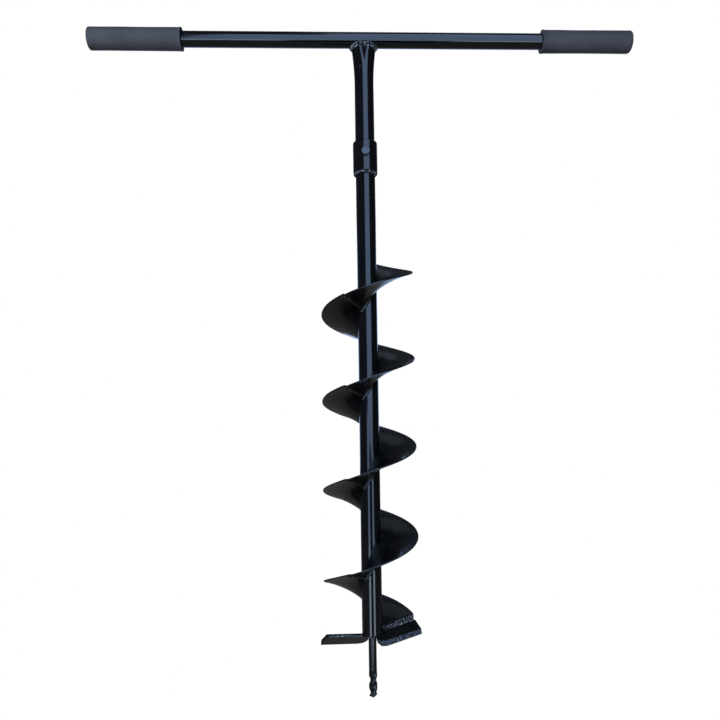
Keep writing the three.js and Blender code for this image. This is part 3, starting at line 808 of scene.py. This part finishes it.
washer_low, washer_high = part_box("flat_washer")
washer = add_tube("flat_washer_m8", washer_high.x, washer_high.x - BOLT_RADIUS - WASHER_GAP,
                  washer_low.y, washer_high.y, 64, WASHER_EDGE)
lay_along_y(washer)
fit(washer, "washers", "fastener", plating, "flat_washer")

spring_low, spring_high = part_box("spring_washer")
spring_mid = (spring_low.y + spring_high.y) / 2
spring_half = (spring_high.y - spring_low.y) / 2 - SPRING_SET
inner, outer = BOLT_RADIUS + WASHER_GAP, spring_high.x
spring_corners = [(inner, -1), (outer, -1), (outer, 1), (inner, 1)]


def spring_place(section, round_share):
    """The washer's square section, carried round from one side of its split to the other."""
    angle = 90 + SPRING_GAP / 2 + (360 - SPRING_GAP) * round_share
    radius, lift = spring_corners[round(section * 4) % 4]
    return polar(radius, angle, spring_mid + lift * spring_half + SPRING_SET * (2 * round_share - 1))


spring = wound_grid("split_spring_washer", 4, 60, spring_place)
seal(spring, fill=True)
ease_edges(spring, SMALL_EDGE, 50)
lay_along_y(spring)
apply_all(spring, 35)
fit(spring, "washers", "fastener", plating, "spring_washer")

nut_low, nut_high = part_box("hex_nut")
nut = hexagon(nut_low.y, nut_high.y, 0, 1)
cut_by(nut, add_rod(BOLT_RADIUS + 0.0001, nut_low.y - 0.001, nut_high.y + 0.001, 48))
lay_along_y(nut)
ease_edges(nut, SMALL_EDGE, 25)
apply_all(nut, 30)
fit(nut, "nut", "fastener", plating, "hex_nut")

# ---- Handle stem ----
# The same tube as the shaft. Its top is squeezed front to back, so that it widens along the bar and
# each broad face folds in to a V, and its mouth is shaped to saddle the bar.
FLARE_HEIGHT, FLARE_HALF, FLARE_CURVE = 0.062, 0.0205, 1.7
DENT_DEPTH, DENT_HEIGHT, DENT_HALF_LOW, DENT_HALF_HIGH = 0.0030, 0.038, 0.0015, 0.0112
MOUTH_REACH = 0.97  # share of the bar's radius that the mouth laps
STEM_SIDES, STEM_STEPS = 144, 90

stem_low, stem_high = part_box("handle_stem")
bar_low, bar_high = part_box("handle_bar")
BAR_RADIUS = bar_high.y
BAR_HEIGHT = (bar_low.z + bar_high.z) / 2
flare_bottom = BAR_HEIGHT - BAR_RADIUS - FLARE_HEIGHT


def squeezed(half):
    """The half depth of an oval with the round tube's own girth, from its half width."""
    depth = SHAFT_RADIUS
    for _ in range(20):
        h = ((half - depth) / (half + depth)) ** 2
        depth += 2 * SHAFT_RADIUS - (half + depth) * (1 + 3 * h / (10 + math.sqrt(4 - 3 * h)))
    return depth


def stem_outline(turn, height):
    """The stem's outline at a height: oval in the flare, with each broad face folded in."""
    share = min(1, max(0, (height - flare_bottom) / FLARE_HEIGHT))
    half = SHAFT_RADIUS + (FLARE_HALF - SHAFT_RADIUS) * share ** FLARE_CURVE
    depth = squeezed(half)
    dent = min(1, max(0, (height - (BAR_HEIGHT - BAR_RADIUS - DENT_HEIGHT)) / DENT_HEIGHT))
    dent_half = DENT_HALF_LOW + (DENT_HALF_HIGH - DENT_HALF_LOW) * dent
    x = half * math.cos(turn)
    y = depth * math.sin(turn)
    near = max(0, 1 - abs(x) / dent_half)
    fold = DENT_DEPTH * dent * near * near  # sharp in the middle, with soft shoulders
    return x, y - math.copysign(fold, y)


def stem_place(round_share, height_share):
    turn = 2 * math.pi * round_share
    share = height_share ** 0.6
    height = stem_low.z + (BAR_HEIGHT - BAR_RADIUS - stem_low.z) * share
    x, y = stem_outline(turn, height)
    saddle = BAR_RADIUS - math.sqrt(max(0, BAR_RADIUS ** 2 - min(y * y, (MOUTH_REACH * BAR_RADIUS) ** 2)))
    return Vector((x, y, height + saddle * max(0, (height - flare_bottom) / FLARE_HEIGHT) ** 2))


stem = wound_grid("flared_handle_stem", STEM_SIDES, STEM_STEPS, stem_place)
seal(stem)
thicken(stem, SHAFT_WALL, INWARDS)
apply_all(stem)
cut_by(stem, bolt_drill(0.03))
apply_all(stem, 35)
fit(stem, "auger", "black_paint", upright_paint, "handle_stem")

# ---- Handle weld ----
# Two thick rows of bead follow the stem's mouth round under the bar. The ripples fan out at both
# sides, where the torch was turned; they catch the light, and their crests also carry a painted glint.
HANDLE_BEAD_RADIUS, HANDLE_TOE_RADIUS = 0.0034, 0.00238
HANDLE_RIPPLE, HANDLE_RIPPLE_DEPTH = 0.0032, 0.45
WELD_REACH = 0.96  # share of the bar's radius that the beads follow


def mouth_line(spread, lower):
    """The line where the stem's mouth meets the bar, spread out from it and lowered."""
    line = []
    for turn in evenly(0, 2 * math.pi, 72):
        x, y = stem_outline(turn, BAR_HEIGHT - BAR_RADIUS)
        out = Vector((x, y, 0)).normalized() * spread
        x, y = x + out.x, y + out.y
        reach = min(abs(y), WELD_REACH * BAR_RADIUS)
        line.append(Vector((x, y, BAR_HEIGHT - math.sqrt(BAR_RADIUS ** 2 - reach ** 2) - lower)))
    return line


mouth_beads = []
for spread, lower, size in ((0.0008, 0.0004, HANDLE_BEAD_RADIUS), (-0.0002, 0.0042, HANDLE_TOE_RADIUS)):
    row = mouth_line(spread, lower)
    mouth_beads.append(bead("mouth_bead", row, size, HANDLE_RIPPLE, HANDLE_RIPPLE_DEPTH, closed=True))
fit(join("saddle_weld", mouth_beads), "auger", "painted_weld", weld_paint_with_painted_glints, "handle_weld")

# ---- Handle bar ----
# A 26 mm steel tube laid across the stem, painted with the rest. Both ends are covered by the grips.
BAR_WALL = 0.002

level_paint = gloss_paint("gloss_black_level_tube", (0.35, 9, 9), peel=0.07)
bar = add_tube("painted_handle_bar", BAR_RADIUS, BAR_WALL, bar_low.x, bar_high.x)
bar.data.transform(Matrix.Rotation(math.pi / 2, 4, "Y"))
bar.data.transform(Matrix.Translation((0, 0, BAR_HEIGHT)))
fit(bar, "auger", "black_paint", level_paint, "handle_bar")

# ---- Grips ----
# Moulded sleeves of dense black foam rubber, closed at the outer end and pushed on the bar with
# soap. The skin is matt and finely pitted, not quite round, and the mouth is a little flared.
GRIP_EDGE = 0.0028
GRIP_MOUTH_EDGE = 0.0007
GRIP_LIP, GRIP_LIP_LENGTH = 0.0006, 0.005
GRIP_END_WALL = 0.02  # solid rubber past the bar's end
GRIP_SIDES = 96
GRIP_UNEVEN = 0.00035
MOUTH_ROLLED_BACK = 0.006  # how far the soft mouth has drawn back towards the bar's end

grip_rubber = finish_material(
    "matt_foam_rubber",
    Base_Color=lambda tree: ramp(
        tree, grain(tree, 30, 6), (0.25, (0.075, 0.075, 0.082)), (0.75, (0.105, 0.105, 0.112))),
    Roughness=lambda tree: ramp(tree, grain(tree, 90, 4), (0.3, 0.5), (0.7, 0.68)),
    Normal=lambda tree: bumps(
        tree, (grain(tree, 2600, 2), 0.35, 0.00025), (grain(tree, 320, 4), 0.25, 0.0006),
        (grain(tree, 45), 0.2, 0.002)),
    Specular_IOR_Level=0.2,
    IOR=1.45,
)


def grip_profile():
    """[along, radius] from the bore's mouth round the outside to the closed end's middle."""
    low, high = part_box("grip_right")
    low.x += MOUTH_ROLLED_BACK
    outer = high.y - GRIP_LIP
    length = high.x - low.x
    bore = BAR_RADIUS + 0.0001
    points = [(length - GRIP_END_WALL, 0.0), (length - GRIP_END_WALL, bore), (0.0, bore)]
    rim = outer + GRIP_LIP
    for a in evenly(0, math.pi / 2, 4):
        points.append((GRIP_MOUTH_EDGE * (1 - math.sin(a)), rim - GRIP_MOUTH_EDGE * (1 - math.sin(a))))
    for s in evenly(0, 1, 6)[1:]:
        points.append((GRIP_MOUTH_EDGE + GRIP_LIP_LENGTH * s, outer + GRIP_LIP * (1 - s * s * (3 - 2 * s))))
    body_start, body_end = GRIP_MOUTH_EDGE + GRIP_LIP_LENGTH, length - GRIP_EDGE
    points += [(place, outer) for place in evenly(body_start, body_end, 28)[1:]]
    for a in evenly(0, math.pi / 2, 6)[1:]:
        points.append((length - GRIP_EDGE * (1 - math.sin(a)), outer - GRIP_EDGE * (1 - math.cos(a))))
    points += [(length, outer * s) for s in (0.6, 0.3, 0.0)]
    return low.x, outer, points


def moulded_grip(name, side, seed):
    """A grip turned from the profile, pressed slightly out of round, on the bar's left or right."""
    start, outer, points = grip_profile()

    def place(round_share, along_share):
        distance, radius = points[round(along_share * (len(points) - 1))]
        turn = 2 * math.pi * round_share
        spot = Vector((distance * 22, math.cos(turn) * 1.1, math.sin(turn) * 1.1 + seed))
        if radius > BAR_RADIUS + 0.001:
            radius -= GRIP_UNEVEN * (0.6 + noise.noise(spot)) * min(1, radius / outer)
        y, z = radius * math.cos(turn), radius * math.sin(turn)
        return Vector((side * (start + distance), y, BAR_HEIGHT + z))

    grip = wound_grid(name, GRIP_SIDES, len(points) - 1, place)
    seal(grip, fill=True)
    apply_all(grip, 40)
    return grip


for name, side, seed in (("right", 1, 3.1), ("left", -1, 8.4)):
    grip = moulded_grip(f"moulded_grip_{name}", side, seed)
    fit(grip, "auger", "grip_rubber", grip_rubber, f"grip_{name}")

# ---- Floor, backdrop and light ----
# A white floor under the pilot's point and an even white surround. The light is a tall soft window
# behind the camera with low ones under it, and a dark screen stands in front of the low ones.
FLOOR_SIZE = 30.0
WINDOW_DISTANCE = 3.0
BLUE_LIGHT = (0.43, 0.63, 1.0)
PALE_LIGHT = (0.66, 0.8, 1.0)
FILL_LIGHT = (0.66, 0.77, 1.0)
GROUND_GLOW = (0.128, 0.13, 0.122)
DIM_ROOM = (0.034, 0.038, 0.05)

bpy.context.scene.view_settings.view_transform = "Standard"

bpy.ops.mesh.primitive_plane_add(size=FLOOR_SIZE, location=(0, 0, cad_box[0][2] - 0.0005))
floor = bpy.context.object
floor.name = "pale_floor"
floor.data.materials.append(finish_material(
    "pale_floor", Base_Color=(0, 0, 0, 1), Roughness=1.0, Specular_IOR_Level=0.0,
    Emission_Color=(1.0, 1.0, 1.0, 1), Emission_Strength=1.0))
floor.visible_glossy = False
floor.visible_diffuse = False
floor.visible_shadow = False

bpy.ops.mesh.primitive_plane_add(size=1)
screen = bpy.context.object
screen.name = "dark_screen"
screen.scale = (0.66, 1.4, 1)
screen.rotation_euler = (math.radians(90), 0, 0)
screen.location = (0.1, -1.4, -0.37)
screen.data.materials.append(finish_material(
    "dark_screen", Base_Color=(0.01, 0.011, 0.014, 1), Roughness=1.0, Specular_IOR_Level=0.0))
screen.visible_camera = False
screen.visible_diffuse = False

# The camera sees plain white. The paint sees a dim room over a lighter, slightly warm ground.
world = bpy.data.worlds.new("white_surround")
bpy.context.scene.world = world
world.use_nodes = True
tree = world.node_tree
facing = add(tree, "SeparateXYZ", {0: add(tree, "TexCoord").outputs["Generated"]}).outputs["Z"]
upness = add(tree, "MapRange", {0: facing, 1: -1.0, 2: 1.0}).outputs[0]
room = ramp(tree, upness, (0.3, GROUND_GLOW), (0.44, DIM_ROOM))
seen = add(tree, "LightPath").outputs["Is Camera Ray"]
blend = add(tree, "Mix", {0: seen, 6: room, 7: (1, 1, 1, 1)}, data_type="RGBA")
tree.links.new(blend.outputs[2], tree.nodes["Background"].inputs["Color"])


def window(name, left, right, bottom, top, radiance, colour=BLUE_LIGHT, distance=WINDOW_DISTANCE, fill=False):
    """An upright soft light between two bearings in degrees and two heights, this side of the auger, or
    behind it if the distance is negative. It shows only in the gloss, or only lights what is dull."""
    x0, x1 = (distance * math.tan(math.radians(a)) for a in (left, right))
    data = bpy.data.lights.new(name, "AREA")
    data.shape = "RECTANGLE"
    data.size, data.size_y = abs(x1 - x0), top - bottom
    data.energy = radiance * math.pi * data.size * data.size_y
    data.color = colour
    lamp = bpy.data.objects.new(name, data)
    bpy.context.scene.collection.objects.link(lamp)
    lamp.location = ((x0 + x1) / 2, -distance, (bottom + top) / 2)
    lamp.rotation_euler = (math.radians(math.copysign(90, distance)), 0, 0)
    lamp.visible_diffuse, lamp.visible_glossy = fill, not fill
    return lamp


window("tall_window", -16, 38, 0.45, 4.5, 2.4)
window("high_window", -2, 38, 4.5, 11.0, 2.2)
window("low_window", -30, 36, -0.4, 0.45, 2.4)
window("window_sill", -30, 36, -1.1, -0.4, 3.6, PALE_LIGHT)
roof_light = window("roof_light", 3, 45, -1.2, 1.2, 0.25, PALE_LIGHT)
roof_light.location = (1.2, 1.7, 4.0)
roof_light.rotation_euler = (0, 0, 0)
window("back_window", -42, 42, 0.1, 1.7, 1.3, distance=-3.2)
window("back_fill", -30, 30, 0.4, 2.2, 3.0, PALE_LIGHT, distance=-2.6, fill=True)
front_fill = window("front_fill", -14, 14, 0.2, 1.4, 24.0, FILL_LIGHT, fill=True)
front_fill.location.x = -2.0
front_fill.rotation_euler.z = math.radians(-25)
